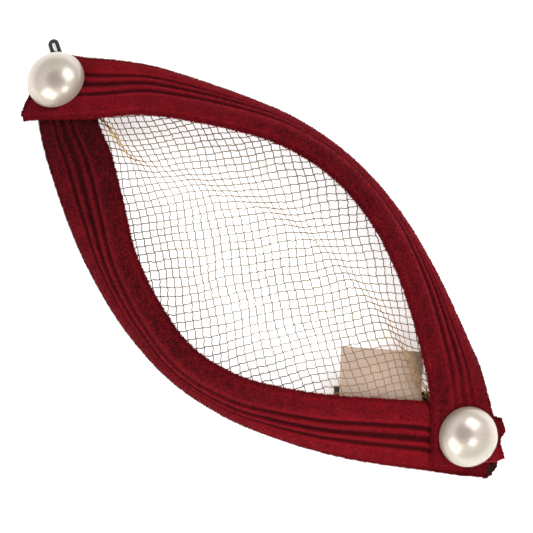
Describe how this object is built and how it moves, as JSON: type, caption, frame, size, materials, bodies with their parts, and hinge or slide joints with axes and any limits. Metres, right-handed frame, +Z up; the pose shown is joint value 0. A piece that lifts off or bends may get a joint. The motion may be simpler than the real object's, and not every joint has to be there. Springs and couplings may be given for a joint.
{
  "type": "juliet cap",
  "caption": "Lens-shaped half hat: pleated velvet bands cross under pearl domes at both ends and hold a gold net.",
  "frame": {"origin": "middle of the cap's box, on the surface that it rests on", "axes": "+X along the cap from the end with the cord loop to the other end, +Z up through the crown"},
  "size_m": [0.265, 0.122, 0.0307],
  "materials": {
    "velvet": "crimson cut-pile velvet",
    "gold_net": "fine net of gold metallic thread",
    "pearl": "ivory pearl coating",
    "cord": "black elastic cord",
    "label": "plain beige woven tape",
    "tape": "black woven tape"
  },
  "bodies": {
    "root": {"upper_band": "velvet", "lower_band": "velvet", "net": "gold_net", "pearl_left": "pearl", "pearl_right": "pearl", "hair_loop": "cord", "label": "label", "label_tape": "tape"}
  },
  "joints": []
}
